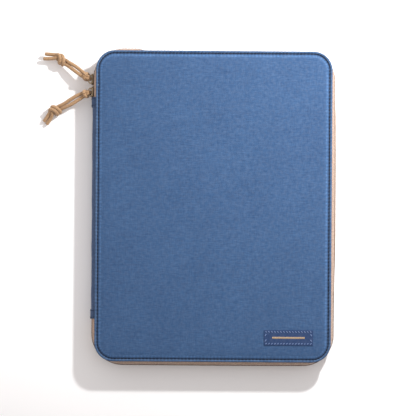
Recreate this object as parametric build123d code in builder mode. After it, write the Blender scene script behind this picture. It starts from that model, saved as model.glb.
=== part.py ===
from build123d import *
import math
import os

# Zippered clamshell laptop sleeve, lying shut with its front cover up.
# X runs across the sleeve away from the spine, Y runs along it, Z is up from the surface it lies on.

# Overall sizes
length = 342.0
width = 260.0
height = 26.0
corner_radius = 23.0

# Layers of each padded half
canvas = 0.9
foam = 3.0
lining = 0.8
panel_depth = canvas + foam + lining

# Edge piping and the flange sewn in behind it
piping_dia = 2.5
piping_inset = piping_dia / 2
piping_depth = 1.7
flange_inset = 1.8
flange_thickness = 0.8
flange_depth = 4.5
skirt_inset = flange_inset + flange_thickness

# Perimeter topstitch lying in a shallow groove
thread_width = 0.8
thread_depth = 0.35
thread_inset = skirt_inset + 0.4

# Binding tape sewn over the inner seam
binding_width = 6.0
binding_thickness = 0.6
binding_inset = skirt_inset + canvas + 0.1

# Zip: two tapes that bow outwards to two coils
tape = 0.7
hem_start = 3.1
band_bulge = 2.5
track_radius = corner_radius + 10.0
coil_width = 2.6
coil_height = 1.9
coil_gap = 1.2
mid = height / 2
coil_depth = mid - coil_gap / 2 - coil_height
track_x = width / 2 + band_bulge
track_y = length / 2 + band_bulge
arc_x = track_x - track_radius
arc_y = track_y - track_radius

# Spine along the hinge side, from near the lower corner to below the sliders
spine_top = 120.0
spine_bottom = -124.0
spine_bow = 4.4
spine_canvas = 0.9
spine_foam_thickness = 1.2
spine_lining_thickness = 0.6
spine_clearance = 0.35
layer_clearance = 0.1
tab_length = 10.5
tab_thickness = 0.8
cover_split = 148.0
split_gap = 0.3

# Zip sliders
slider_length = 11.7
slider_height = 8.5
slider_plate = 1.0
coil_clearance = 0.65
channel_clearance = 0.35
tape_slot_in = 2.15
tape_slot_out = 1.1
divider = 0.7
divider_length = 2.6
crown_length = 9.8
crown_bar = 1.3
crown_hole = 2.6
crown_hole_length = 7.2
crown_hole_rounding = 1.18
crown_height = 2.2
slider_gap = 2.6
channel_half = coil_width / 2 + coil_clearance
slider_half = channel_half + slider_plate
upper_slider_y = arc_y
lower_slider_y = upper_slider_y - slider_length - slider_gap

# Cord pulls hitched on the crowns
cord_dia = 4.0
strap_width = 2.4
strap_height = 2.0
strap_start = 1.4
hitch_start = 6.3
hitch_length = 7.0
hitch_width = 8.4
pull_x = -track_x - slider_half - crown_hole / 2
upper_hitch_angle = 150.0
lower_hitch_angle = 199.0
knot_length = 10.5
knot_width = 13.6
knot_height = 9.6
upper_knot_centre = (-32.55, 21.3, 8.0)
upper_knot_angle = 154.0
lower_knot_centre = (-37.85, -17.2, 6.4)
lower_knot_angle = 215.0

# Woven label on the cover
label_width = 54.0
label_height = 17.0
label_thickness = 0.6
label_x = width / 2 - 46.8
label_y = -length / 2 + 27.1
label_thread_inset = 1.2
label_thread_width = 0.7
label_thread_sink = 0.3
label_thread_proud = 0.15

# Section of the spine: hems on both flanges with a bowed wall between them
hem_x = width / 2 - flange_inset
hem_top = height - piping_depth - piping_dia / 2 - spine_clearance
bow_x = width / 2 + spine_bow
bow_half = mid - flange_depth
bow_depth = bow_x - hem_x - spine_canvas
bow_radius = (bow_half**2 + bow_depth**2) / (2 * bow_depth)
bow_centre = -bow_x + bow_radius
hem_reach = math.sqrt((bow_radius - spine_canvas) ** 2 - (hem_x + bow_centre) ** 2)

# Sizes that follow on the sliders and the pulls
channel_height = coil_gap + 2 * coil_height + 2 * channel_clearance
crown_reach = slider_half + crown_hole + crown_bar
slider_rounding = 1.6
crown_rounding = 2.6
hitch_pass = 2.2
hitch_bury = 1.2
hitch_rounding = 2.2
knot_rounding = 3.4
label_rounding = 1.0

# Routes of the cord from its pull's axis: two strands from each hitch to its knot, then two cut tails
upper_routes = [
    [(-9.65, 7.8, 13.0), (-18.85, 15.1, 11.4), (-28.85, 21.9, 9.0)],
    [(-11.65, 4.3, 13.0), (-21.45, 11.1, 11.4), (-30.65, 17.9, 9.0)],
    [(-34.85, 24.7, 7.8), (-40.85, 27.1, 7.0), (-48.25, 27.9, 6.2)],
    [(-36.45, 20.9, 7.8), (-42.85, 22.5, 7.0), (-50.05, 22.2, 6.2)],
]
lower_routes = [
    [(-11.85, -2.0, 12.8), (-19.45, -4.4, 11.0), (-27.45, -9.0, 8.8), (-34.05, -12.9, 7.0)],
    [(-10.45, -6.0, 12.8), (-18.65, -11.2, 11.0), (-26.65, -14.6, 8.8), (-34.65, -17.9, 7.0)],
    [(-39.65, -21.2, 5.4), (-43.45, -26.9, 3.9), (-47.95, -32.7, 2.8)],
    [(-43.25, -18.3, 5.4), (-47.25, -23.9, 3.9), (-51.65, -29.6, 2.8)],
]

base_face = Plane.XY
cover_face = Plane(origin=(0, 0, height), x_dir=(1, 0, 0), z_dir=(0, 0, -1))


def outline(inset, mode=Mode.ADD):
    """Outline of the sleeve moved inwards by a distance."""
    RectangleRounded(width - 2 * inset, length - 2 * inset, corner_radius - inset, mode=mode)


def track(outset, mode=Mode.ADD):
    """Outline of the zip track moved outwards by a distance."""
    RectangleRounded(2 * (track_x + outset), 2 * (track_y + outset), track_radius + outset, mode=mode)


def canvas_shell(face):
    """Outer canvas: a flat field with a turned skirt and a groove for its thread."""
    with BuildPart() as shell:
        with BuildSketch(face):
            outline(skirt_inset)
        extrude(amount=panel_depth)
        with BuildSketch(face.offset(canvas)):
            outline(skirt_inset + canvas)
        extrude(amount=panel_depth - canvas, mode=Mode.SUBTRACT)
        with BuildSketch(face):
            outline(thread_inset)
            outline(thread_inset + thread_width, mode=Mode.SUBTRACT)
        extrude(amount=thread_depth, mode=Mode.SUBTRACT)
    return shell.part


def pad(face, depth, thickness):
    """A flat layer that fills the tray at one depth."""
    with BuildPart() as layer:
        with BuildSketch(face.offset(depth)):
            outline(skirt_inset + canvas)
        extrude(amount=thickness)
    return layer.part


def ring(face, depth, thickness, outer, inner):
    """A flat ring between two insets."""
    with BuildPart() as band:
        with BuildSketch(face.offset(depth)):
            outline(outer)
            outline(inner, mode=Mode.SUBTRACT)
        extrude(amount=thickness)
    return band.part


def piping(face):
    """Round piping with its flange standing in the seam."""
    x = width / 2 - piping_inset
    y = length / 2 - piping_inset
    corners = [(x, y), (-x, y), (-x, -y), (x, -y)]
    with BuildPart() as bead:
        with BuildLine(face.offset(piping_depth)):
            path = FilletPolyline(*corners, radius=corner_radius - piping_inset, close=True)
        with BuildSketch(Plane(origin=path @ 0, z_dir=path % 0)):
            Circle(piping_dia / 2)
        sweep()
        with BuildSketch(face.offset(piping_depth)):
            outline(flange_inset)
            outline(skirt_inset, mode=Mode.SUBTRACT)
        extrude(amount=flange_depth - piping_depth)
    return bead.part


def zip_tape(face):
    """Zip tape: a hem on the flange, then a wall that bows out to the coil."""
    with BuildPart() as wall:
        with BuildSketch(face.offset(flange_depth)):
            outline(flange_inset - tape)
        with BuildSketch(face.offset(coil_depth)):
            track(tape / 2)
        loft(ruled=True)
        with BuildSketch(face.offset(flange_depth)):
            outline(flange_inset)
        with BuildSketch(face.offset(coil_depth)):
            track(-tape / 2)
        loft(ruled=True, mode=Mode.SUBTRACT)
        with BuildSketch(face.offset(hem_start)):
            outline(flange_inset - tape)
            outline(flange_inset, mode=Mode.SUBTRACT)
        extrude(amount=flange_depth - hem_start)
    return wall.part


def zip_coil(face):
    """Zip coil along the edge of its tape."""
    with BuildPart() as coil:
        with BuildSketch(face.offset(coil_depth)):
            track(coil_width / 2)
            track(-coil_width / 2, mode=Mode.SUBTRACT)
        extrude(amount=coil_height)
    return coil.part


def left_side(solid, y_low, y_high, mode):
    """A band cut by a block that covers its left side: taken away or kept alone."""
    with BuildPart() as piece:
        add(solid)
        with Locations((-track_x, (y_low + y_high) / 2, mid)):
            Box(track_radius, y_high - y_low, 2 * height, mode=mode)
    return piece.part


def bowed_layer(outer_radius, inner_radius, edge_x, half_height, y_low, y_high):
    """One bowed layer on the spine's section, cut straight where it meets the halves."""
    with BuildPart() as layer:
        with BuildSketch(Plane.XZ.offset(-y_high)):
            with Locations((bow_centre, mid)):
                Circle(outer_radius)
                Circle(inner_radius, mode=Mode.SUBTRACT)
            with Locations((-edge_x - height / 2, mid)):
                Rectangle(height, 2 * half_height, mode=Mode.INTERSECT)
        extrude(amount=y_high - y_low)
    return layer.part


def spine_outer():
    """Spine canvas: the bowed wall with a straight hem on each flange."""
    hem_middle = -hem_x - spine_canvas / 2
    with BuildPart() as panel:
        with BuildSketch(Plane.XZ.offset(-spine_top)):
            with Locations((bow_centre, mid)):
                Circle(bow_radius)
                Circle(bow_radius - spine_canvas, mode=Mode.SUBTRACT)
            with Locations((-hem_x - height / 2, mid)):
                Rectangle(height, height, mode=Mode.INTERSECT)
            with Locations((hem_middle, (hem_start + mid - hem_reach) / 2)):
                Rectangle(spine_canvas, mid - hem_reach - hem_start)
            with Locations((hem_middle, (hem_top + mid + hem_reach) / 2)):
                Rectangle(spine_canvas, hem_top - mid - hem_reach)
        extrude(amount=spine_top - spine_bottom)
    return panel.part


def zip_slider(centre_y, nose):
    """Cast slider round both coils, with its divider at the nose and its crown outside."""
    with BuildPart(Plane(origin=(-track_x, centre_y, mid))) as slider:
        Box(2 * slider_half, slider_length, slider_height)
        fillet(slider.edges().filter_by(Axis.X), radius=slider_rounding)
        with BuildSketch(Plane(origin=(-track_x, centre_y, mid - crown_height / 2))):
            with Locations((-crown_reach / 2, 0)):
                RectangleRounded(crown_reach, crown_length, crown_rounding)
            with Locations((-slider_half - crown_hole / 2, 0)):
                RectangleRounded(crown_hole, crown_hole_length, crown_hole_rounding, mode=Mode.SUBTRACT)
        extrude(amount=crown_height)
        Box(2 * channel_half, 2 * slider_length, channel_height, mode=Mode.SUBTRACT)
        with Locations(((tape_slot_in - tape_slot_out) / 2, 0, 0)):
            Box(tape_slot_in + tape_slot_out, 2 * slider_length, 2 * slider_height, mode=Mode.SUBTRACT)
        with Locations((0, nose * (slider_length - divider_length - slider_rounding) / 2, 0)):
            Box(slider_half + channel_half, divider_length, divider)
    return slider.part


def pull_hitch(axis_y, angle):
    """Hitch of the doubled cord: a pass through the crown, two straps and the gathered bight."""
    along = Vector(1, 0, 0).rotate(Axis.Z, angle)
    frame = Plane(origin=(pull_x, axis_y, mid), x_dir=along, z_dir=(0, 0, 1))
    with BuildPart(frame) as hitch:
        with Locations((hitch_start + hitch_length / 2, 0, 0)):
            Box(hitch_length, hitch_width, 2 * (strap_start + strap_height))
        fillet(hitch.edges(), radius=hitch_rounding)
        Cylinder(radius=hitch_pass / 2, height=2 * (strap_start + strap_height))
        for side in (strap_start, -strap_start - strap_height):
            with BuildSketch(frame.offset(side)):
                with Locations((hitch_start / 2 + hitch_bury / 2, 0)):
                    SlotOverall(hitch_start + hitch_bury + strap_width, strap_width)
            extrude(amount=strap_height)
    return hitch.part


def from_axis(point, axis_y):
    """Place of a point given from the upright axis that a pull swings on."""
    return Vector(pull_x + point[0], axis_y + point[1], point[2])


def pull_knot(centre, axis_y, angle):
    """Overhand knot of the doubled cord as one rounded lump."""
    along = Vector(1, 0, 0).rotate(Axis.Z, angle)
    with BuildPart(Plane(origin=from_axis(centre, axis_y), x_dir=along, z_dir=(0, 0, 1))) as knot:
        Box(knot_length, knot_width, knot_height)
        fillet(knot.edges(), radius=knot_rounding)
    return knot.part


def route_radii(points):
    """Bend radius at each inner point of a cord's route."""
    radii = []
    for before, here, after in zip(points, points[1:], points[2:]):
        run_in = here - before
        run_out = after - here
        half_turn = math.radians(run_in.get_angle(run_out)) / 2
        radii.append(0.45 * min(run_in.length, run_out.length) / math.tan(half_turn))
    return radii


def cord_tubes(name, routes, axis_y):
    """Cord lengths that follow their routes, with their bends and lengths printed."""
    with BuildPart() as cords:
        for route in routes:
            points = [from_axis(point, axis_y) for point in route]
            radii = route_radii(points)
            with BuildLine():
                line = FilletPolyline(*points, radius=radii)
            with BuildSketch(Plane(origin=line @ 0, z_dir=line % 0)):
                Circle(cord_dia / 2)
            sweep()
            print(name, "radii", [round(r, 1) for r in radii], "length", round(line.length, 1),
                  "volume", round(line.length * math.pi * cord_dia**2 / 4, 1))
    print(name, "solid volume", round(cords.part.volume, 1))
    return cords.part


def woven_label():
    """Label with a sunk line round it for its thread."""
    with BuildPart() as patch:
        with BuildSketch(Plane.XY.offset(height)):
            with Locations((label_x, label_y)):
                RectangleRounded(label_width, label_height, label_rounding)
        extrude(amount=label_thickness)
        with BuildSketch(Plane.XY.offset(height + label_thickness - label_thread_sink)):
            label_seam()
        extrude(amount=label_thread_sink, mode=Mode.SUBTRACT)
    return patch.part


def label_seam():
    """Ring that the label's sewing thread follows."""
    outer = 2 * label_thread_inset
    inner = outer + 2 * label_thread_width
    with Locations((label_x, label_y)):
        Rectangle(label_width - outer, label_height - outer)
        Rectangle(label_width - inner, label_height - inner, mode=Mode.SUBTRACT)


def label_thread():
    """Decorative stitching round the label."""
    with BuildPart() as thread:
        with BuildSketch(Plane.XY.offset(height + label_thickness - label_thread_sink)):
            label_seam()
        extrude(amount=label_thread_sink + label_thread_proud)
    return thread.part


spine_reach = mid - panel_depth - layer_clearance
spine_edge = width / 2 - skirt_inset
foam_radius = bow_radius - spine_canvas
lining_radius = foam_radius - spine_foam_thickness
lower_tape = zip_tape(base_face)
lower_coil = zip_coil(base_face)
upper_tape = zip_tape(cover_face)
upper_coil = zip_coil(cover_face)
kept_end = cover_split - split_gap / 2
cover_end = cover_split + split_gap / 2

pieces = {
    "base_shell": canvas_shell(base_face),
    "base_foam": pad(base_face, canvas, foam),
    "base_lining": pad(base_face, canvas + foam, lining),
    "base_piping": piping(base_face),
    "base_topstitch": ring(base_face, 0, thread_depth, thread_inset, thread_inset + thread_width),
    "base_seam_binding": ring(base_face, panel_depth, binding_thickness, binding_inset,
                              binding_inset + binding_width),
    "lower_zip_tape": left_side(lower_tape, spine_bottom, spine_top, Mode.SUBTRACT),
    "lower_zip_coil": left_side(lower_coil, spine_bottom, spine_top, Mode.SUBTRACT),
    "upper_tape_end_top": left_side(upper_tape, spine_top, kept_end, Mode.INTERSECT),
    "upper_coil_end_top": left_side(upper_coil, spine_top, kept_end, Mode.INTERSECT),
    "upper_tape_end_bottom": left_side(upper_tape, -kept_end, spine_bottom, Mode.INTERSECT),
    "upper_coil_end_bottom": left_side(upper_coil, -kept_end, spine_bottom, Mode.INTERSECT),
    "spine_panel": spine_outer(),
    "spine_foam": bowed_layer(foam_radius, lining_radius, spine_edge, spine_reach, spine_bottom, spine_top),
    "spine_lining": bowed_layer(lining_radius, lining_radius - spine_lining_thickness, spine_edge,
                                spine_reach, spine_bottom, spine_top),
    "zip_end_tab_top": bowed_layer(bow_radius + tab_thickness, bow_radius, width / 2 + layer_clearance,
                                   height, spine_top - tab_length, spine_top),
    "zip_end_tab_bottom": bowed_layer(bow_radius + tab_thickness, bow_radius, width / 2 + layer_clearance,
                                      height, spine_bottom, spine_bottom + tab_length),
    "cover_shell": canvas_shell(cover_face),
    "cover_foam": pad(cover_face, canvas, foam),
    "cover_lining": pad(cover_face, canvas + foam, lining),
    "cover_piping": piping(cover_face),
    "cover_topstitch": ring(cover_face, 0, thread_depth, thread_inset, thread_inset + thread_width),
    "cover_seam_binding": ring(cover_face, panel_depth, binding_thickness, binding_inset,
                               binding_inset + binding_width),
    "upper_zip_tape": left_side(upper_tape, -cover_end, cover_end, Mode.SUBTRACT),
    "upper_zip_coil": left_side(upper_coil, -cover_end, cover_end, Mode.SUBTRACT),
    "label_patch": woven_label(),
    "label_stitch": label_thread(),
    "upper_slider": zip_slider(upper_slider_y, -1),
    "lower_slider": zip_slider(lower_slider_y, 1),
    "upper_pull_hitch": pull_hitch(upper_slider_y, upper_hitch_angle),
    "upper_pull_cord": cord_tubes("upper_pull_cord", upper_routes, upper_slider_y),
    "upper_pull_knot": pull_knot(upper_knot_centre, upper_slider_y, upper_knot_angle),
    "lower_pull_hitch": pull_hitch(lower_slider_y, lower_hitch_angle),
    "lower_pull_cord": cord_tubes("lower_pull_cord", lower_routes, lower_slider_y),
    "lower_pull_knot": pull_knot(lower_knot_centre, lower_slider_y, lower_knot_angle),
}

os.makedirs("parts", exist_ok=True)
for name, piece in pieces.items():
    piece.label = name
    export_step(piece, f"parts/{name}.step")
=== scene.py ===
import math
import bmesh
import bpy
import numpy as np
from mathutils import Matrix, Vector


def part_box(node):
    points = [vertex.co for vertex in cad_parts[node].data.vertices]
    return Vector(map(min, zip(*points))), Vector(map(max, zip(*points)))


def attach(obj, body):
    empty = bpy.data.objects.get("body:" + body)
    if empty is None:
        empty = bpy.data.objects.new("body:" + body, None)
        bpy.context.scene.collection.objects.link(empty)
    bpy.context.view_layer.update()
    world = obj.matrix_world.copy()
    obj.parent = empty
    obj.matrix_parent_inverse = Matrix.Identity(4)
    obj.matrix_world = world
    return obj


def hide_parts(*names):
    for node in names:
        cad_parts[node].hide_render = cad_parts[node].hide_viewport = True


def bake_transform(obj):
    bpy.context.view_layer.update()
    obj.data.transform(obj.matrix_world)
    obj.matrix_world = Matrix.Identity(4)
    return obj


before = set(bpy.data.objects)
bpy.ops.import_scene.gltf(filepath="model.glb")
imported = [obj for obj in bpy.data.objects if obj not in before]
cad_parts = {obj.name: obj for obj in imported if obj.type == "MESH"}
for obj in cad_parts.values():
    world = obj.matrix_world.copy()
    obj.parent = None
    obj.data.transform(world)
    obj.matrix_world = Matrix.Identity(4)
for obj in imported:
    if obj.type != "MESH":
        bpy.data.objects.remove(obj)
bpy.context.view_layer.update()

# Camera, floor and light
# The sleeve lies on a pale floor, seen from straight above. One soft lamp stands beyond its far right
# corner, the bright room fills the shadows, and a black flag keeps the room's light off the near edge.
cover_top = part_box("cover_shell")[1].z
camera_height = 1.8
picture_width = 0.4566
picture_middle = (-0.0049, -0.0019)
near_offset = 0.15
sensor_width = 36
camera = bpy.data.objects.new("camera", bpy.data.cameras.new("camera"))
camera.data.sensor_width = sensor_width
camera.data.lens = sensor_width * (camera_height - cover_top) / picture_width
camera.location = (picture_middle[0], picture_middle[1] - near_offset, camera_height)
camera.data.shift_y = near_offset / picture_width
camera.rotation_euler = (0, 0, math.radians(0.4))
bpy.context.scene.collection.objects.link(camera)
bpy.context.scene.camera = camera
bpy.context.scene.view_settings.view_transform = "Standard"

lamp = bpy.data.objects.new("lamp", bpy.data.lights.new("lamp", "AREA"))
lamp.data.shape = "DISK"
lamp.data.size = 0.05
lamp.data.energy = 6.7
lamp.location = (0.322, 0.424, 0.475)
lamp.rotation_euler = lamp.location.to_track_quat("Z", "Y").to_euler()
bpy.context.scene.collection.objects.link(lamp)

room = bpy.data.worlds.new("room")
room.use_nodes = True
room.node_tree.nodes["Background"].inputs["Color"].default_value = (1.0, 0.95, 0.943, 1)
room.node_tree.nodes["Background"].inputs["Strength"].default_value = 0.9
bpy.context.scene.world = room


def stage_panel(name, corners, grey, roughness):
    """One flat panel with four corners, painted a single grey. It stands beside the object."""
    mesh = bpy.data.meshes.new(name)
    mesh.from_pydata(corners, [], [(0, 1, 2, 3)])
    panel = bpy.data.objects.new(name, mesh)
    bpy.context.scene.collection.objects.link(panel)
    paint = bpy.data.materials.new(f"{name}_paint")
    paint.use_nodes = True
    shader = paint.node_tree.nodes["Principled BSDF"]
    shader.inputs["Base Color"].default_value = (grey, grey, grey, 1)
    shader.inputs["Roughness"].default_value = roughness
    mesh.materials.append(paint)
    return panel


floor_reach = 3
stage_panel("floor", [(-floor_reach, -floor_reach, 0), (floor_reach, -floor_reach, 0),
                      (floor_reach, floor_reach, 0), (-floor_reach, floor_reach, 0)], 0.92, 0.9)
flag_y, flag_half, flag_low, flag_high = -0.31, 0.5, 0.02, 0.15
flag = stage_panel("black_flag", [(-flag_half, flag_y, flag_low), (flag_half, flag_y, flag_low),
                                  (flag_half, flag_y, flag_high), (-flag_half, flag_y, flag_high)], 0.01, 0.5)
flag.visible_camera = flag.visible_shadow = False

# Cord pulls
# Each slider has a pull of tan braided cord, doubled, hitched round the crown, tied in an overhand knot
# and cut a little way past it. The two strands of a pull are modelled from the middle of the bight.
def grid_piece(name, points, wrap_rows=False, wrap_cols=False, caps=False, size=(1.0, 1.0), painted_light=None):
    """A mesh of quads over one or many grids of points, shaped (grids, rows, columns, 3).
    The UV map runs from 0 to size along the rows and the columns, and goes on over a wrapped edge.
    Points that meet at a pole are merged, and faces are turned outwards. The painted light is one value per
    point, below zero where shade is painted and above zero where a highlight is painted."""
    points = np.asarray(points, float)
    points = points[None] if points.ndim == 3 else points
    grids, rows, cols = points.shape[:3]
    row, col = np.meshgrid(np.arange(rows - 1 + wrap_rows), np.arange(cols - 1 + wrap_cols), indexing="ij")
    corners = [(row, col), (row + 1, col), (row + 1, col + 1), (row, col + 1)]
    quads = np.stack([(r % rows) * cols + c % cols for r, c in corners], -1).reshape(-1, 4)
    quads = (quads[None] + (np.arange(grids) * rows * cols)[:, None, None]).reshape(-1, 4)
    uv = np.stack([np.stack([r * size[0] / rows, c * size[1] / cols], -1) for r, c in corners], 2)
    uv = np.tile(uv.reshape(-1, 2), (grids, 1))
    faces = quads.tolist()
    if caps:
        ends = np.arange(cols)[None] + (np.arange(grids) * rows * cols)[:, None]
        faces += ends.tolist() + (ends[:, ::-1] + (rows - 1) * cols).tolist()
        uv = np.vstack([uv, np.zeros((2 * grids * cols, 2))])
    mesh = bpy.data.meshes.new(name)
    mesh.from_pydata(points.reshape(-1, 3).tolist(), [], faces)
    mesh.uv_layers.new(name="weave").data.foreach_set("uv", uv.ravel())
    # Painted shade and painted highlight are stored on the mesh, one value per point.
    if painted_light is not None:
        mesh.attributes.new("painted_light", "FLOAT", "POINT").data.foreach_set("value", np.ravel(painted_light))
    shape = bmesh.new()
    shape.from_mesh(mesh)
    bmesh.ops.remove_doubles(shape, verts=shape.verts, dist=1e-6)
    bmesh.ops.recalc_face_normals(shape, faces=shape.faces)
    shape.to_mesh(mesh)
    shape.free()
    mesh.polygons.foreach_set("use_smooth", np.ones(len(mesh.polygons), bool))
    piece = bpy.data.objects.new(name, mesh)
    bpy.context.scene.collection.objects.link(piece)
    return piece


def speckle(add, scale, detail=2.0):
    """Noise between 0 and 1, fixed to the piece, finer as the scale rises."""
    place = add("ShaderNodeTexCoord").outputs["Object"]
    return add("ShaderNodeTexNoise", {"Vector": place, "Scale": scale, "Detail": detail}).outputs["Fac"]


def bump(add, lift, strength, distance):
    """The surface tilted as though it rose by a lift, from 0 to 1, over a distance in metres."""
    return add("ShaderNodeBump", {"Height": lift, "Strength": strength, "Distance": distance}).outputs[0]


def finish_material(name, roughness, sheen=0.0, metallic=0.0):
    """A new material with its finish on the shader, and helpers that add nodes and join them to the shader.
    Its roughness wanders a little either side of the value with a fine grain."""
    material = bpy.data.materials.new(name)
    material.use_nodes = True
    shader = material.node_tree.nodes["Principled BSDF"]
    shader.inputs["Metallic"].default_value = metallic
    shader.inputs["Sheen Weight"].default_value = sheen
    shader.inputs["Sheen Roughness"].default_value = 0.5

    def add(kind, values=(), **settings):
        node = material.node_tree.nodes.new(kind)
        for key, value in settings.items():
            setattr(node, key, value)
        for key, value in dict(values).items():
            if hasattr(value, "is_output"):
                material.node_tree.links.new(value, node.inputs[key])
            else:
                node.inputs[key].default_value = value
        return node

    def put(socket, output):
        material.node_tree.links.new(output, shader.inputs[socket])

    low, high = max(0.05, roughness - 0.15), min(1.0, roughness + 0.15)
    put("Roughness", add("ShaderNodeMapRange", {"Value": speckle(add, 300.0), "From Min": 0.3, "From Max": 0.7,
                                                "To Min": low, "To Max": high}).outputs["Result"])
    return material, add, put


def maths(add, operation, first, second=0.0):
    """One Math node and its result."""
    return add("ShaderNodeMath", {0: first, 1: second}, operation=operation).outputs[0]


def colour_ramp(add, value, stops):
    """A colour chosen along stops of (place, (r, g, b)) by a value."""
    ramp = add("ShaderNodeValToRGB", {"Fac": value})
    while len(ramp.color_ramp.elements) < len(stops):
        ramp.color_ramp.elements.new(0.5)
    for element, (place, colour) in zip(ramp.color_ramp.elements, stops):
        element.position = place
        element.color = (*colour, 1)
    return ramp.outputs["Color"]


def braided_sheath(name, dark, light, carriers, twist):
    """Braid: two sets of slanting lines, one each way round the cord, whose product lifts the crossings and
    paints shade into the crevices between them.
    """
    material, add, put = finish_material(name, 0.75, sheen=0.25)
    uv = add("ShaderNodeSeparateXYZ", {0: add("ShaderNodeTexCoord").outputs["UV"]})
    along = maths(add, "MULTIPLY", uv.outputs[0], twist)
    around = maths(add, "MULTIPLY", uv.outputs[1], 2 * math.pi * carriers)
    right = maths(add, "SINE", maths(add, "ADD", along, around))
    left = maths(add, "SINE", maths(add, "SUBTRACT", along, around))
    lift = maths(add, "MULTIPLY", right, left)
    # Painted shade: the crevices between the crossings are coloured darker, and the crossings lighter.
    mix = maths(add, "ADD", maths(add, "MULTIPLY", lift, 0.3), speckle(add, 1400.0, 3.0))
    put("Base Color", colour_ramp(add, mix, [(0.15, dark), (0.85, light)]))
    put("Normal", bump(add, mix, 0.6, 0.0003))
    return material


def spline_points(route, steps=14):
    """Points along the smooth curve that has the route as its control points."""
    curve = bpy.data.curves.new("route", "CURVE")
    curve.dimensions = "3D"
    curve.resolution_u = steps
    spline = curve.splines.new("NURBS")
    spline.points.add(len(route) - 1)
    spline.points.foreach_set("co", np.hstack([route, np.ones((len(route), 1))]).ravel())
    spline.order_u = 3
    spline.use_endpoint_u = True
    holder = bpy.data.objects.new("route", curve)
    line = bpy.data.meshes.new_from_object(holder)
    points = np.array([v.co for v in line.vertices])
    bpy.data.objects.remove(holder)
    bpy.data.meshes.remove(line)
    return points


def tube(path, radius, sides):
    """Circles of a radius, one value or one per point, carried along a path without twist."""
    along = np.gradient(path, axis=0)
    along /= np.linalg.norm(along, axis=1, keepdims=True)
    side = np.cross(along[0], (0.3, 0.2, 1.0))
    sideways = []
    for direction in along:
        side = side - direction * (side @ direction)
        side = side / np.linalg.norm(side)
        sideways.append(side)
    sideways = np.array(sideways)
    upwards = np.cross(along, sideways)
    angle = np.linspace(0, 2 * math.pi, sides, endpoint=False)
    reach = np.broadcast_to(radius, len(path))[:, None, None]
    return path[:, None] + reach * (np.cos(angle)[:, None] * sideways[:, None]
                                    + np.sin(angle)[:, None] * upwards[:, None])


cord_diameter = 0.004
cord_sides = 28
ring_spacing = 0.0004
pinch_reach = 0.003
cut_end_rounding = 0.0006
cord_sheath = braided_sheath("cord_sheath", (0.085, 0.038, 0.015), (0.60, 0.37, 0.19), carriers=8, twist=2600.0)
# Hitch of one strand, from the crown outwards, sideways and up: the bight lies across both strands,
# goes round under the crown's bar, up through its hole and out over the bar.
hitch_turns = np.array([(7.4, 0.0, 3.9), (7.0, 2.5, 3.2), (5.8, 3.3, 0.4), (3.8, 2.5, -2.2), (1.6, 1.2, -2.9),
                        (-1.2, 0.8, 0.0), (1.6, 0.9, 2.9), (4.2, 1.3, 2.1), (7.2, 1.7, -0.3),
                        (10.2, 2.05, -0.4)])
# Knot of one strand about the knot's centre, with the way its twin lies beside it at each point.
knot_turns = np.array([(-5.6, 0.0, 0.0), (-2.0, 0.0, -0.8), (2.4, 0.2, -1.2), (5.2, -2.6, 0.2), (3.0, -4.4, 2.6),
                       (-0.6, -1.4, 4.0), (-2.4, 3.0, 2.8), (-2.2, 4.9, -0.4), (-0.4, 2.6, -3.6),
                       (1.2, -1.8, -3.6), (2.0, -4.6, -1.2), (3.6, -2.0, 1.4), (6.4, 0.0, 0.6)])
knot_beside = np.array([(0, 2.1, 0), (0.3, 2.0, 0), (0.8, 1.7, 0.4), (1.7, 0.8, 0.4), (1.8, 0.6, 0.2),
                        (1.9, 0.4, 0), (1.9, 0.2, 0), (1.9, 0, 0), (1.9, 0, 0), (1.9, 0, 0), (1.7, 0.6, 0.2),
                        (0.8, 1.8, 0.3), (0, 2.1, 0)])
pulls = {
    "upper_pull": dict(slider="upper_slider", turn=148.0, knot=(-169.9, 162.8, 8.0), knot_turn=150.0,
                       knot_size=(1.08, 0.92, 1.0),
                       strands=[[(-155.5, 150.8, 11.2), (-163.2, 156.9, 8.4)],
                                [(-153.0, 154.8, 11.4), (-161.3, 159.7, 9.8)]],
                       tails=[[(-180.4, 164.1, 7.0), (-189.9, 164.2, 6.2)],
                              [(-178.4, 168.6, 7.0), (-188.2, 169.5, 6.2)]]),
    "lower_pull": dict(slider="lower_slider", turn=199.0, knot=(-176.1, 106.8, 6.4), knot_turn=213.0,
                       knot_size=(0.84, 1.08, 1.0),
                       strands=[[(-157.0, 120.0, 11.0), (-166.6, 113.6, 8.8)],
                                [(-157.8, 112.8, 11.0), (-166.8, 109.6, 8.8)]],
                       tails=[[(-184.8, 100.2, 3.9), (-189.4, 94.6, 2.8)],
                              [(-181.4, 97.6, 3.9), (-186.2, 91.6, 2.8)]]),
}


def turned(points, centre, degrees):
    """Points in millimetres turned about the vertical and moved to a centre."""
    c, s = math.cos(math.radians(degrees)), math.sin(math.radians(degrees))
    return points @ np.array([(c, s, 0), (-s, c, 0), (0, 0, 1)]) + centre


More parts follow.
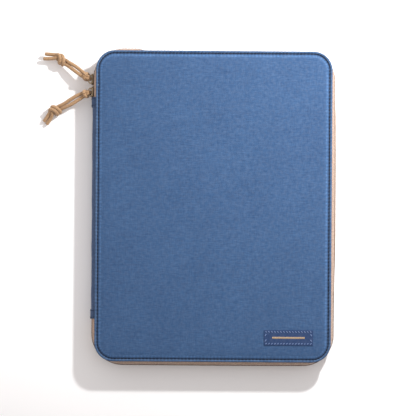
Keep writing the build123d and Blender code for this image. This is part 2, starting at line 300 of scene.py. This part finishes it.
crown_hole_x = -136.75
crown_hole_z = 500 * (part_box("upper_slider")[0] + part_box("upper_slider")[1]).z
for pull, facts in pulls.items():
    low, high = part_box(facts["slider"])
    crown = np.array([crown_hole_x, 500 * (low.y + high.y), crown_hole_z])
    for strand, side in (("left", -1), ("right", 1)):
        mirror = np.array([1, side, 1])
        hitch = turned(hitch_turns * mirror, crown, facts["turn"])
        knot = turned(knot_turns * facts["knot_size"] + side * knot_beside, facts["knot"], facts["knot_turn"])
        order = (side + 1) // 2 if pull == "lower_pull" else (1 - side) // 2
        run = np.array(facts["strands"][order])
        tail = np.array(facts["tails"][order])
        route = np.vstack([hitch, run, knot, tail]) / 1000
        path = spline_points(route)
        travelled = np.concatenate([[0], np.cumsum(np.linalg.norm(np.diff(path, axis=0), axis=1))])
        length = travelled[-1]
        even = np.arange(0, length, ring_spacing)
        path = np.stack([np.interp(even, travelled, path[:, k]) for k in range(3)], 1)
        at_crown = even[np.argmin(np.linalg.norm(path[:len(even) // 3] - crown / 1000, axis=1))]
        gap = (even - at_crown) / pinch_reach
        squeezed = 1 - 0.4 * np.exp(-(gap**2)) - 0.18 * np.exp(-((gap / 2.6) ** 2))
        taper = squeezed * (1 - 0.25 * np.exp(-(length - even) / cut_end_rounding))
        rings = tube(path, cord_diameter / 2 * taper, cord_sides)
        cord = grid_piece(f"{pull}_cord_{strand}", rings, wrap_cols=True, caps=True, size=(length, 1.0))
        cord.data.materials.append(cord_sheath)
        print(cord.name, "length", round(float(length), 4))
        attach(cord, pull)
        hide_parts(f"{pull}_cord", f"{pull}_hitch", f"{pull}_knot")


# Padded halves
# Each half is blue plain-weave canvas over foam, sewn round its edge so that the field swells a little
# inside a ditch. The cover is the puffed one, and the base lies flat on the floor.
low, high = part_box("base_piping")
half_width, half_length = 1000 * high.x, 1000 * high.y
height = 1000 * (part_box("cover_shell")[1].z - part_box("base_shell")[0].z)
corner = 21.0
stitch_count = 300
around = 4 * (half_width + half_length - 2 * corner) + 2 * math.pi * corner


def rim(s, core=(half_width - corner, half_length - corner)):
    """Core point and outward direction at each distance s round the edge, from the middle of the left side
    and on past the near end. The core is a rectangle, and the direction turns a quarter at each corner."""
    x, y, q = half_width - corner, half_length - corner, corner * math.pi / 2
    steps = np.cumsum([0, y, q, 2 * x, q, 2 * y, q, 2 * x, q, y])
    cx, cy = core
    px = np.interp(s, steps, [-cx, -cx, -cx, cx, cx, cx, cx, -cx, -cx, -cx])
    py = np.interp(s, steps, [0, -cy, -cy, -cy, -cy, cy, cy, cy, cy, 0])
    angle = np.interp(s, steps, np.radians([180, 180, 270, 270, 360, 360, 450, 450, 540, 540]))
    return np.stack([px, py], -1), np.stack([np.cos(angle), np.sin(angle)], -1)


def rim_surface(s, inset, z):
    """Points at insets and heights, each shaped (rings,) or (rings, samples), round the sleeve's edge."""
    core, out = rim(s)
    inset = np.broadcast_to(np.reshape(inset, (len(inset), -1)), (len(inset), len(s)))
    z = np.broadcast_to(np.reshape(z, (len(z), -1)), inset.shape)
    flat = core[None] + out[None] * (corner - inset)[..., None]
    return np.concatenate([flat, z[..., None]], -1)


def yarns(add, place, scale):
    """Long thin noise, stretched along the yarns of one direction, so that each has its own shade."""
    stretched = add("ShaderNodeMapping", {"Vector": place, "Scale": scale}).outputs[0]
    return add("ShaderNodeTexNoise", {"Vector": stretched, "Scale": 1.0, "Detail": 2.0}).outputs["Fac"]


def canvas_weave(name, dark, middle_tone, light, yarn=0.0006, sheen=0.07):
    """Plain weave: the product of a sine across and a sine along lifts each crossing, and long thin noise
    gives each warp and weft yarn its own shade. Painted shade and painted highlight stored on the mesh darken or
    pale it."""
    material, add, put = finish_material(name, 0.82, sheen=sheen)
    place = add("ShaderNodeTexCoord").outputs["Object"]
    axes = add("ShaderNodeSeparateXYZ", {0: place})
    turns = math.pi / yarn
    across = maths(add, "SINE", maths(add, "MULTIPLY", axes.outputs[0], turns))
    along = maths(add, "SINE", maths(add, "MULTIPLY", axes.outputs[1], turns))
    crossing = maths(add, "MULTIPLY", across, along)
    warp = maths(add, "MULTIPLY", yarns(add, place, (1500, 150, 1500)), 0.34)
    weft = maths(add, "MULTIPLY", yarns(add, place, (150, 1500, 1500)), 0.5)
    cloud = maths(add, "MULTIPLY", speckle(add, 26.0, 4.0), 0.14)
    crests = maths(add, "MULTIPLY", crossing, 0.05)
    shade = maths(add, "ADD", maths(add, "ADD", warp, weft), maths(add, "ADD", cloud, crests))
    # Painted shade and painted highlight from the mesh pull the colour towards the deep and pale ends.
    rubbed_and_painted_light = maths(add, "MULTIPLY", add("ShaderNodeAttribute", attribute_name="painted_light").outputs["Fac"], 0.45)
    deep, pale = [0.15 * c for c in dark], [1.9 * c for c in light]
    put("Base Color", colour_ramp(add, maths(add, "ADD", shade, rubbed_and_painted_light),
                                  [(0.02, deep), (0.35, dark), (0.5, middle_tone), (0.65, light), (0.97, pale)]))
    put("Normal", bump(add, maths(add, "ADD", maths(add, "MULTIPLY", crossing, 0.5), shade), 0.5, 0.00025))
    return material


canvas_blue = canvas_weave("canvas_blue", (0.0165, 0.052, 0.133), (0.025, 0.0715, 0.168), (0.037, 0.094, 0.207))
rim_s = np.arange(4 * stitch_count) * around / (4 * stitch_count)
edge_insets = np.array([2.62, 2.8, 3.1, 3.5, 4.0, 4.6, 5.3, 6.2, 7.3, 8.6, 10.2, 12.2, 14.6, 17.4, 20.4])
ditch = 2.2


def blown_cloth(cells_x=64, cells_y=85, cap=1.3):
    """Heights over a grid of a canvas sheet held down outside the seam and blown gently from below, which
    crowns it and gathers it towards the seam. The settled heights are scaled to a cap in millimetres."""
    seam = edge_insets[0]
    x = np.linspace(seam - half_width, half_width - seam, cells_x)
    y = np.linspace(seam - half_length, half_length - seam, cells_y)
    flat_x, flat_y = np.meshgrid(x, y)
    past_x, past_y = np.abs(flat_x) - half_width + corner, np.abs(flat_y) - half_length + corner
    inset = corner - np.where((past_x > 0) & (past_y > 0), np.hypot(past_x, past_y), np.maximum(past_x, past_y))
    z = 0.05 * np.sin(flat_x / 7.3 + flat_y / 11.7) + 0.05 * np.sin(flat_x / 13.1 - flat_y / 6.9)
    sheet = grid_piece("blown_sheet", np.stack([flat_x, flat_y, z], -1) / 1000)
    sheet.vertex_groups.new(name="sewn").add(np.flatnonzero(inset < seam + 0.3).tolist(), 1.0, "REPLACE")
    cloth = sheet.modifiers.new("cloth", "CLOTH").settings
    cloth.quality, cloth.mass, cloth.shrink_min = 6, 0.3, -0.004
    cloth.tension_stiffness = cloth.compression_stiffness = 80
    cloth.shear_stiffness, cloth.bending_stiffness = 27, 0.2
    cloth.tension_damping = cloth.compression_damping = 25
    cloth.bending_damping, cloth.air_damping = 2, 5
    cloth.use_pressure, cloth.uniform_pressure_force = True, 4
    cloth.vertex_group_mass = "sewn"
    cloth.effector_weights.gravity = 0
    for frame_number in range(1, 21):
        bpy.context.scene.frame_set(frame_number)
    settled = sheet.evaluated_get(bpy.context.evaluated_depsgraph_get()).to_mesh()
    points = np.empty(len(settled.vertices) * 3)
    settled.vertices.foreach_get("co", points)
    bpy.data.objects.remove(sheet)
    bpy.context.scene.frame_set(1)
    heights = points[2::3].reshape(cells_y, cells_x).clip(0)
    return x, y, heights * cap / heights.max()


cloth_x, cloth_y, cloth_height = blown_cloth()


def cloth_rise(x, y):
    """Height of the settled cloth at any place: a blend of the four grid points round it."""
    col = ((x - cloth_x[0]) / (cloth_x[1] - cloth_x[0])).clip(0, len(cloth_x) - 1.001)
    row = ((y - cloth_y[0]) / (cloth_y[1] - cloth_y[0])).clip(0, len(cloth_y) - 1.001)
    i, j = row.astype(int), col.astype(int)
    u, v = row - i, col - j
    near = cloth_height[i, j] * (1 - v) + cloth_height[i, j + 1] * v
    far = cloth_height[i + 1, j] * (1 - v) + cloth_height[i + 1, j + 1] * v
    return near * (1 - u) + far * u


pucker_depth = 0.28
gather_depth = 0.14


def field_height(x, y, inset, s, rise):
    """A quick rise beside the seam and the settled cloth's crown, with puckers that fade from each stitch."""
    out = inset - edge_insets[0]
    pitch = 2 * math.pi * stitch_count * s / around
    puckers = -pucker_depth * np.cos(pitch) * np.exp(-out / 2.0)
    spread = np.exp(-out / 5) * (1 - np.exp(-out / 1.2))
    gathers = gather_depth * (np.sin(pitch / 4.6) + np.sin(pitch / 7.3 + 1)) * spread
    return rise * (1 - np.exp(-out / 2.5)) + cloth_rise(x, y) + puckers + gathers


def field(rise):
    """Rings of the field from its seam to the middle: offset outlines first, then outlines that shrink."""
    core, out = rim(rim_s)
    flat = core[None] + out[None] * (corner - edge_insets)[:, None, None]
    shrink = np.linspace(0.96, 0, 26)[:, None, None]
    flat = np.concatenate([flat, flat[-1][None] * shrink])
    side_gap = (half_width - np.abs(flat[..., 0])).clip(0)
    end_gap = (half_length - np.abs(flat[..., 1])).clip(0)
    inset = np.minimum(side_gap, end_gap)
    inset[:len(edge_insets)] = edge_insets[:, None]
    z = field_height(flat[..., 0], flat[..., 1], inset, rim_s[None], rise)
    z[-1] = z[-1].mean()
    return np.concatenate([flat, z[..., None]], -1)


panel_depth = 1000 * (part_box("cover_shell")[1].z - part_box("cover_shell")[0].z)


def padded_half(name, face, rise, body, replaced):
    """Closed pad: the field, a turned edge down to the seam, and a plain back under the lining. Nothing goes
    below the floor. The canvas has painted shade along the stitches in the ditch and a painted highlight on the
    roll beside them."""
    top = field(rise)
    top[..., 2] -= ditch
    out = np.append(edge_insets - edge_insets[0], np.full(len(top) - len(edge_insets), 99.0))[:, None]
    stitch = np.cos(2 * math.pi * stitch_count * rim_s / around)
    # Painted shade in the ditch, darkest at each stitch, and a painted highlight on the roll beside it.
    painted_light = (0.75 * np.exp(-((out - 3.1) / 1.3) ** 2) * (0.75 + 0.25 * stitch)
            - np.exp(-(out / 1.5) ** 2) * (0.8 - 0.4 * stitch))
    wall_inset = np.array([2.7, 2.7, 2.9, 3.5, 4.5])
    wall_z = np.array([-2.4, -panel_depth + 0.3, -panel_depth + 0.05, -panel_depth + 0.1, -panel_depth + 0.7])
    wall = rim_surface(rim_s, wall_inset, wall_z)
    back = wall[-1][None] * np.array([0.6, 0.0])[:, None, None]
    back[..., 2] = wall_z[-1]
    points = np.concatenate([top[::-1], wall, back])
    points[..., 2] = (height / 2 + face * (height / 2 + points[..., 2])).clip(0.1)
    painted_light = np.concatenate([painted_light[::-1], np.zeros((len(points) - len(painted_light), len(rim_s)))])
    piece = grid_piece(name, points / 1000, wrap_cols=True, painted_light=painted_light)
    piece.data.materials.append(canvas_blue)
    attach(piece, body)
    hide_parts(*replaced)
    return piece


cover_rise = 2.8
base_rise = ditch - 0.5
padded_half("cover_canvas", 1, cover_rise, "cover", ["cover_shell", "cover_foam"])
padded_half("base_canvas", -1, base_rise, "base", ["base_shell", "base_foam"])

# Piping
# A thin cord wrapped in the same canvas stands proud round the edge of each half. Its cover is pulled
# in a little at every stitch.
piping_radius = 1.3
piping_middle = 1.7
piping_blue = canvas_weave("piping_blue", (0.020, 0.054, 0.125), (0.031, 0.075, 0.162), (0.054, 0.110, 0.212))
for name, face, body in (("cover_piping_cord", 1, "cover"), ("base_piping_cord", -1, "base")):
    turn = np.linspace(0, 2 * math.pi, 14, endpoint=False)[:, None]
    pitch = 2 * math.pi * stitch_count * rim_s[None] / around
    bulge = piping_radius * (1 + 0.06 * np.cos(pitch) + 0.03 * np.sin(pitch / 5.3))
    lift = 0.45 if face == 1 else 0.0
    z = height / 2 + face * (height / 2 - piping_middle + lift + bulge * np.sin(turn))
    loop = rim_surface(rim_s, piping_radius + 0.02 - bulge * np.cos(turn), z)
    # Painted highlight: the piping is lightened all round, and most on the beads where its cover bulges between
    # stitches.
    painted_light = 0.12 + (0.16 * np.cos(pitch) + 0.08 * np.sin(pitch / 6.1)) * np.ones_like(turn)
    piping = grid_piece(name, loop / 1000, wrap_rows=True, wrap_cols=True, painted_light=painted_light)
    piping.data.materials.append(piping_blue)
    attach(piping, body)
    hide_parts(f"{body}_piping")

# Topstitching
# One row of dark lockstitch lies in the ditch inside the piping of each half. Each stitch dives into the
# canvas at both ends.
thread_dark, add, put = finish_material("thread_dark", 0.85)
put("Base Color", colour_ramp(add, speckle(add, 2200.0), [(0.3, (0.003, 0.007, 0.018)),
                                                          (0.7, (0.010, 0.018, 0.040))]))
stitch_s = (np.arange(stitch_count) + 0.5) * around / stitch_count
stitch_half = 1.55
stitch_inset = 3.2
stitch_thread = 0.72
stitch_dive = 0.55
for name, face, body in (("cover_stitches", 1, "cover"), ("base_stitches", -1, "base")):
    part = np.linspace(-1, 1, 7)
    s = stitch_s[:, None] + part[None] * stitch_half
    core, out = rim(s.ravel())
    centre = (core + out * (corner - stitch_inset)).reshape(stitch_count, 7, 2)
    out = out.reshape(stitch_count, 7, 2)
    turn = np.linspace(0, 2 * math.pi, 6, endpoint=False)
    thick = stitch_thread * np.sqrt(1 - 0.8 * part**4)
    sag = -stitch_dive * part**4
    flat = centre[:, :, None] + out[:, :, None] * (thick[:, None] * np.cos(turn))[None, ..., None]
    z = (-ditch + stitch_dive + sag)[:, None] + thick[:, None] * np.sin(turn)
    z = height / 2 + face * (height / 2 + np.broadcast_to(z, flat.shape[:3]))
    stitches = grid_piece(name, np.concatenate([flat, z[..., None]], -1) / 1000, wrap_cols=True, caps=True)
    stitches.data.materials.append(thread_dark)
    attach(stitches, body)
    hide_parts(f"{body}_topstitch")

# Label
# A small navy woven patch near the corner, plain but for a tan bar woven across it, sewn on all round
# with a lighter thread.
low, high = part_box("label_patch")
label_centre = 500 * (low + high)
label_half = 500 * (high - low)


def on_field(x, y, above):
    """A point at a height above the cover's field."""
    inset = np.minimum(half_width - np.abs(x), half_length - np.abs(y))
    z = height - ditch + field_height(x, y, inset, 0 * x, cover_rise) + above
    return np.stack([x, y, z], -1)


profile_reach = np.array([0.985, 1.0, 1.0, 0.99, 0.97, 0.9, 0.8, 0.6, 0.4, 0.2, 0.0])
profile_lift = np.array([-0.35, -0.25, 0.3, 0.5, 0.55, 0.5, 0.45, 0.45, 0.45, 0.45, 0.45])
turn = np.linspace(0, 2 * math.pi, 240, endpoint=False)
squareness = 60
squarish = 1 / (np.abs(np.cos(turn)) ** squareness + np.abs(np.sin(turn)) ** squareness) ** (1 / squareness)
label_x = label_centre.x + label_half.x * np.outer(profile_reach, squarish * np.cos(turn)).clip(-1, 1)
label_y = label_centre.y + label_half.y * np.outer(profile_reach, squarish * np.sin(turn)).clip(-1, 1)
under = on_field(label_x[:1] * 0 + label_centre.x, label_y[:1] * 0 + label_centre.y, -0.35)
label_points = np.concatenate([under, on_field(label_x, label_y, profile_lift[:, None])])
label_navy, add, put = finish_material("label_navy", 0.8, sheen=0.04)
label_rib = 0.0006
axes = add("ShaderNodeSeparateXYZ", {0: add("ShaderNodeTexCoord").outputs["Object"]})
ribs = maths(add, "SINE", maths(add, "MULTIPLY", axes.outputs[1], 2 * math.pi / label_rib))
shade = maths(add, "ADD", maths(add, "MULTIPLY", ribs, 0.12), speckle(add, 1500.0))
put("Base Color", colour_ramp(add, shade, [(0.3, (0.0062, 0.0225, 0.078)), (0.7, (0.0135, 0.045, 0.132))]))
put("Normal", bump(add, shade, 0.5, 0.0002))
label = grid_piece("label", label_points / 1000, wrap_cols=True)
label.data.materials.append(label_navy)
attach(label, "cover")
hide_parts("label_patch")


def running_stitches(name, starts, ends, radius, lift, material):
    """Short threads on the cover from each start to each end, arched over the cloth."""
    part = np.linspace(-1, 1, 5)
    line = (starts + ends)[:, None] / 2 + (ends - starts)[:, None] * part[None, :, None] / 2
    raised = on_field(line[..., 0], line[..., 1], lift - 0.5 * radius * part[None] ** 4 * 3)
    way = (ends - starts) / np.linalg.norm(ends - starts, axis=1, keepdims=True)
    side = np.stack([-way[:, 1], way[:, 0], 0 * way[:, 0]], -1)[:, None, None]
    turn = np.linspace(0, 2 * math.pi, 6, endpoint=False)
    thick = radius * np.sqrt(1 - 0.7 * part**4)[None, :, None, None]
    ring = np.cos(turn)[:, None] * side + np.sin(turn)[:, None] * np.array([0, 0, 1])
    piece = grid_piece(name, (raised[:, :, None] + thick * ring) / 1000, wrap_cols=True, caps=True)
    piece.data.materials.append(material)
    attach(piece, "cover")
    return piece


def thread_material(name, dark, light):
    """Twisted thread: fine grain between two tones."""
    material, add, put = finish_material(name, 0.7, sheen=0.2)
    put("Base Color", colour_ramp(add, speckle(add, 2500.0), [(0.3, dark), (0.7, light)]))
    return material


label_thread = thread_material("label_thread", (0.11, 0.18, 0.36), (0.24, 0.34, 0.58))
slanted = []
for reach, rise, swap in ((label_half.x, label_half.y, False), (label_half.y, label_half.x, True)):
    reach -= 4.0 if swap else 1.6
    steps = np.linspace(-reach, reach, 2 * int(reach * 0.66))
    for side in (-1, 1):
        line = np.stack([steps, side * (rise - np.where(np.arange(len(steps)) % 2, 2.9, 1.1))], 1)
        line = line[:, ::-1] if swap else line
        slanted.append(np.hstack([line[::2], line[1::2]]) + np.tile([label_centre.x, label_centre.y], 2))
border = np.concatenate(slanted)
seam = running_stitches("label_stitches", border[:, :2], border[:, 2:], 0.33, 0.58, label_thread)
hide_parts("label_stitch")
tan_thread = thread_material("label_tan_thread", (0.30, 0.20, 0.11), (0.55, 0.40, 0.25))
bar_reach, bar_pitch, bar_half = 17.5, 0.7, 1.6
bar_x = np.arange(-bar_reach, bar_reach + 0.01, bar_pitch) + label_centre.x
bar_y = 0 * bar_x + label_centre.y
bar = np.stack([bar_x, bar_y - bar_half, bar_x, bar_y + bar_half], 1)
running_stitches("label_woven_bar", bar[:, :2], bar[:, 2:], 0.34, 0.42, tan_thread)

# Zip tapes
# Tan herringbone tape is sewn in behind each piping and bows outwards to its coil. Round the left side it
# stops at the spine. The upper tape is attached to neither half.
low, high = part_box("lower_zip_coil")
coil_low = 1000 * low.z
coil_half = 1.3
track_outset = 1000 * (high.x - half_width / 1000) - coil_half
track_corner = 33.0
track_core = (half_width + track_outset - track_corner, half_length + track_outset - track_corner)
spine_low, spine_high = 1000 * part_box("spine_panel")[0].y, 1000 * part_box("spine_panel")[1].y
band_s = np.linspace(-spine_low, around - spine_high, 1100)


def eased(s, amount, start, end, ease_in, ease_out):
    """An amount that rises smoothly after the start of a stretch and falls away before its end."""
    rise = np.minimum((s - start) / ease_in, (end - s) / ease_out).clip(0, 1)
    return amount * rise**2 * (3 - 2 * rise)


def slack(s):
    """Extra outward bow of tape and coil: eased in and out along each side, fullest on the right, and drawn
    in along the far side."""
    x, y, q = half_width - corner, half_length - corner, corner * math.pi / 2
    return (eased(s, 0.2, y + q, y + q + 2 * x, 90, 90)
            + eased(s, 0.8, y + 2 * q + 2 * x, 3 * y + 2 * q + 2 * x, 120, 120)
            + eased(s, -2.9, 3 * y + 2.3 * q + 2 * x, 3 * y + 3 * q + 3.88 * x, 30, 20))


def belly(s):
    """How far the lower tape bulges below its coil along the right side, eased in and out."""
    x, y, q = half_width - corner, half_length - corner, corner * math.pi / 2
    return eased(s, 3.3, y + 1.6 * q + 2 * x, 3 * y + 2.4 * q + 2 * x, 120, 60)


def herringbone(name, dark, light, rib=0.0009, column=0.0028):
    """Herringbone: slanting ribs that change their slant at each column across the tape."""
    material, add, put = finish_material(name, 0.85, sheen=0.2)
    uv = add("ShaderNodeSeparateXYZ", {0: add("ShaderNodeTexCoord").outputs["UV"]})
    slant = maths(add, "PINGPONG", uv.outputs[0], column)
    ribs = maths(add, "SINE", maths(add, "MULTIPLY", maths(add, "ADD", uv.outputs[1], slant), 2 * math.pi / rib))
    shade = maths(add, "ADD", maths(add, "MULTIPLY", ribs, 0.13), speckle(add, 700.0, 3.0))
    put("Base Color", colour_ramp(add, shade, [(0.3, dark), (0.7, light)]))
    put("Normal", bump(add, shade, 0.6, 0.0003))
    return material


tape_tan = herringbone("tape_tan", (0.26, 0.168, 0.118), (0.49, 0.345, 0.262))
hem_inset = 1.45
hem_depth = 3.0
lip_depth = coil_low + 0.5
tape_half = 0.35
for name, face in (("lower_tape", -1), ("upper_tape", 1)):
    inner_core, out = rim(band_s)
    outer_core, _ = rim(band_s, track_core)
    v = np.linspace(0, 1, 12)[:, None]
    bow = (1 - (1 - v) ** 1.7)[..., None]
    hem = inner_core + out * (corner - hem_inset)
    lip = outer_core + out * (track_corner + 0.1 + slack(band_s)[:, None])
    sheet_line = hem[None] * (1 - bow) + lip[None] * bow
    if face == -1:
        sheet_line = sheet_line + out[None] * (belly(band_s) * np.sin(math.pi * v) ** 2)[..., None]
    depth = hem_depth + (lip_depth - hem_depth) * v
    outside = sheet_line + out[None] * tape_half
    inside = sheet_line - out[None] * tape_half
    flat = np.concatenate([outside, inside[::-1]])
    z = np.broadcast_to(np.concatenate([depth, depth[::-1]]), flat.shape[:2])
    z = height / 2 - face * (z - height / 2)
    wall = np.swapaxes(np.concatenate([flat, z[..., None]], -1), 0, 1)
    tape = grid_piece(name, wall / 1000, wrap_cols=True, caps=True, size=(around / 1000, 0.024))
    tape.data.materials.append(tape_tan)
    if face == 1:
        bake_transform(tape)
        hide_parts("upper_zip_tape", "upper_tape_end_top", "upper_tape_end_bottom")
    else:
        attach(tape, "base")
        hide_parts("lower_zip_tape")

# Zip coils
# Each coil is one polymer wire wound in tight turns along the tape's edge. The two are set half a turn
# apart, so that their heads mesh along the middle of the sleeve's side.
coil_pitch = 1.6
wire = 0.39
coil_across = 1.15
coil_rise = 1.55
turn_points = 10
coil_tan, add, put = finish_material("coil_tan", 0.35)
put("Base Color", colour_ramp(add, speckle(add, 120.0), [(0.3, (0.13, 0.078, 0.05)),
                                                         (0.7, (0.24, 0.155, 0.105))]))
core, out = rim(band_s, track_core)
track = core + out * (track_corner + slack(band_s)[:, None])
travelled = np.concatenate([[0], np.cumsum(np.linalg.norm(np.diff(track, axis=0), axis=1))])
turns = int(travelled[-1] / coil_pitch)
coil_s = np.interp(np.linspace(0, travelled[-1], turns * turn_points), travelled, band_s)
for name, face, shift in (("lower_coil", -1, 0.0), ("upper_coil", 1, math.pi)):
    core, out = rim(coil_s, track_core)
    angle = np.linspace(0, 2 * math.pi * turns, turns * turn_points) + shift
    flat = core + out * (track_corner + slack(coil_s) + coil_across * np.cos(angle))[:, None]
    z = (coil_low + 1.2) + coil_rise * np.sin(angle)
    z = height / 2 - face * (z - height / 2)
    centre = np.concatenate([flat, z[:, None]], -1)
    level = np.array([0, 0, 1])
    spoke = np.cos(angle)[:, None] * np.c_[out, 0 * z] - face * np.sin(angle)[:, None] * level
    onward = np.c_[-out[:, 1], out[:, 0], 0 * z]
    turn = np.linspace(0, 2 * math.pi, 5, endpoint=False)[None, :, None]
    rings = centre[:, None] + wire * (np.cos(turn) * spoke[:, None] + np.sin(turn) * onward[:, None])
    coil = grid_piece(name, rings / 1000, wrap_cols=True, caps=True)
    coil.data.materials.append(coil_tan)
    if face == 1:
        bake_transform(coil)
        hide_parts("upper_zip_coil", "upper_coil_end_top", "upper_coil_end_bottom")
    else:
        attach(coil, "base")
        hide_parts("lower_zip_coil")

# Spine and its end tabs
# A bowed strip of darker canvas joins the halves along the left side. A folded tab of the same canvas
# covers the zip's end at each end of it.
spine_blue = canvas_weave("spine_blue", (0.022, 0.048, 0.112), (0.034, 0.069, 0.152), (0.050, 0.095, 0.20),
                          sheen=0.05)
spine_canvas_thickness = 0.9
bow_x = -1000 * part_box("spine_panel")[0].x
hem_x = half_width - 1.8
bow_half = height / 2 - 4.5
bow_depth = bow_x - hem_x - spine_canvas_thickness
bow_radius = (bow_half**2 + bow_depth**2) / (2 * bow_depth)
bow_centre = -bow_x + bow_radius


def bowed_strip(name, y_low, y_high, outer, thickness, reach, ripple, material, node):
    """A curved strip: an arc about the spine's centre line, with a few soft ripples, carried along the side."""
    y = np.linspace(y_low, y_high, max(12, int((y_high - y_low) / 1.2)))[:, None]
    angle = np.linspace(-reach, reach, 34)[None]
    wave = ripple * (np.sin(y / 9.0) * np.cos(2 * angle) + 0.6 * np.sin(y / 4.1 + 3 * angle))
    points = []
    for radius, step in ((outer + wave, 1), (outer - thickness + wave, -1)):
        x = bow_centre - radius * np.cos(angle)
        z = height / 2 + radius * np.sin(angle)
        points.append(np.stack([x, y + 0 * z, z], -1)[:, ::step])
    strip = grid_piece(name, np.concatenate(points, 1) / 1000, wrap_cols=True, caps=True)
    strip.data.materials.append(material)
    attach(strip, "base")
    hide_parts(node)
    return strip


spine_reach = math.asin((bow_half + 0.3) / bow_radius)
bowed_strip("spine_canvas", spine_low, spine_high, bow_radius, spine_canvas_thickness, spine_reach, 0.12,
            spine_blue, "spine_panel")
tab_length = 10.5
tab_radius = bow_radius + 0.85
for end, start in (("top", spine_high - tab_length), ("bottom", spine_low)):
    bowed_strip(f"zip_tab_{end}", start, start + tab_length, tab_radius, 0.8, spine_reach * 0.86, 0.05,
                spine_blue, f"zip_end_tab_{end}")

# Tab stitching
# Each tab is sewn down with two rows of the dark thread, across the strip near its two ends.
tab_stitches_at = np.arange(-0.78, 0.79, 0.13)[:, None] * spine_reach
row_from_end, row_within = 1.6, 9.0
rows_y = np.array([spine_high - row_within, spine_high - row_from_end,
                   spine_low + row_from_end, spine_low + row_within])[:, None, None]
part = np.linspace(-1, 1, 5)
angle = (tab_stitches_at + 0.045 * part)[None]
radius = tab_radius + 0.12 - 0.4 * part**4
thread = 0.36 * np.sqrt(1 - 0.7 * part**4)
turn = np.linspace(0, 2 * math.pi, 6, endpoint=False)
reach = radius[:, None] + thread[:, None] * np.cos(turn)
x = bow_centre - reach * np.cos(angle)[..., None]
z = height / 2 + reach * np.sin(angle)[..., None]
y = rows_y[..., None] + thread[:, None] * np.sin(turn) + 0 * x
x, z = x + 0 * y, z + 0 * y
rings = np.stack([x, y, z], -1).reshape(-1, 5, 6, 3)
sewn = grid_piece("tab_stitches", rings / 1000, wrap_cols=True, caps=True)
sewn.data.materials.append(thread_dark)
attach(sewn, "base")

# Linings and seam bindings
# The inside is brushed tan cloth over the foam, and a woven tape is folded over the seam round it. The
# spine has the same lining, over a thin strip of grey foam.
lining_tan, add, put = finish_material("lining_tan", 0.95, sheen=0.6)
nap = speckle(add, 420.0, 6.0)
put("Base Color", colour_ramp(add, nap, [(0.3, (0.27, 0.19, 0.115)), (0.7, (0.42, 0.31, 0.20))]))
put("Normal", bump(add, nap, 0.7, 0.0004))
binding_tan = herringbone("binding_tan", (0.20, 0.135, 0.08), (0.36, 0.26, 0.165))
for body, face in (("cover", 1), ("base", -1)):
    insets = np.array([3.55, 3.6, 4.4, 6.0, 9.0, 13.0, 20.0])
    drop = np.array([-4.0, -4.65, -4.75, -4.8, -4.75, -4.8, -4.85])
    sheet = rim_surface(rim_s, insets, drop)
    shrink = np.linspace(0.9, 0, 8)[:, None, None]
    inside = sheet[-1][None] * shrink
    inside[..., 2] = drop[-1] - 0.15 * (1 - shrink[..., 0] ** 2)
    hidden = sheet[0][None] * np.array([0.0, 0.5])[:, None, None]
    hidden[..., 2] = drop[0]
    points = np.concatenate([hidden, sheet, inside])
    points[..., 2] = height / 2 + face * (height / 2 + points[..., 2])
    lining = grid_piece(f"{body}_lining_cloth", points / 1000, wrap_cols=True)
    lining.data.materials.append(lining_tan)
    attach(lining, body)
    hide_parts(f"{body}_lining")
    turn = np.linspace(0, 2 * math.pi, 16, endpoint=False)
    across = 6.5 + 3.0 * np.sign(np.cos(turn)) * np.abs(np.cos(turn)) ** 0.6
    lift = -5.0 + 0.32 * np.sign(np.sin(turn)) * np.abs(np.sin(turn)) ** 0.7
    points = rim_surface(rim_s, across, height / 2 + face * (height / 2 + lift))
    binding = grid_piece(f"{body}_binding_tape", np.swapaxes(points, 0, 1) / 1000, wrap_rows=True,
                         wrap_cols=True, size=(around / 1000, 0.012))
    binding.data.materials.append(binding_tan)
    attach(binding, body)
    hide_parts(f"{body}_seam_binding")
spine_foam_thickness = 1.2
spine_inner = bow_radius - spine_canvas_thickness - spine_foam_thickness
bowed_strip("spine_lining_cloth", spine_low + 0.5, spine_high - 0.5, spine_inner, 0.6, 1.0, 0.05, lining_tan,
            "spine_lining")
foam_grey, add, put = finish_material("foam_grey", 0.9)
cells = add("ShaderNodeTexVoronoi", {"Vector": add("ShaderNodeTexCoord").outputs["Object"], "Scale": 1400.0})
put("Base Color", colour_ramp(add, cells.outputs["Distance"], [(0.1, (0.06, 0.06, 0.065)),
                                                               (0.7, (0.13, 0.13, 0.14))]))
bowed_strip("spine_padding", spine_low + 0.6, spine_high - 0.6, bow_radius - 0.95, 1.1, spine_reach * 0.93,
            0.05, foam_grey, "spine_foam")

# Sliders
# Each slider is one bronze-plated casting with rounded edges, darker in its hollows and brighter where
# the hand rubs it.
slider_bronze, add, put = finish_material("slider_bronze", 0.42, metallic=0.9)
blotch = speckle(add, 260.0, 5.0)
edges = add("ShaderNodeNewGeometry").outputs["Pointiness"]
rubbed_and_painted_light = maths(add, "ADD", maths(add, "MULTIPLY", maths(add, "SUBTRACT", edges, 0.5), 3.0), blotch)
put("Base Color", colour_ramp(add, rubbed_and_painted_light, [(0.35, (0.055, 0.038, 0.024)), (0.62, (0.16, 0.115, 0.07)),
                                          (0.85, (0.38, 0.29, 0.19))]))
put("Normal", bump(add, blotch, 0.25, 0.0002))
for name in ("upper_slider", "lower_slider"):
    casting = bpy.data.objects.new(f"{name}_casting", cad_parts[name].data.copy())
    bpy.context.scene.collection.objects.link(casting)
    shape = bmesh.new()
    shape.from_mesh(casting.data)
    bmesh.ops.remove_doubles(shape, verts=shape.verts, dist=1e-6)
    bmesh.ops.dissolve_limit(shape, angle_limit=math.radians(1), verts=shape.verts, edges=shape.edges)
    shape.to_mesh(casting.data)
    shape.free()
    rounding = casting.modifiers.new("rounding", "BEVEL")
    rounding.width = 0.00028
    rounding.segments = 3
    rounding.limit_method = "ANGLE"
    casting.data.materials.clear()
    casting.data.materials.append(slider_bronze)
    casting.data.polygons.foreach_set("use_smooth", np.ones(len(casting.data.polygons), bool))
    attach(casting, name)
    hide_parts(name)
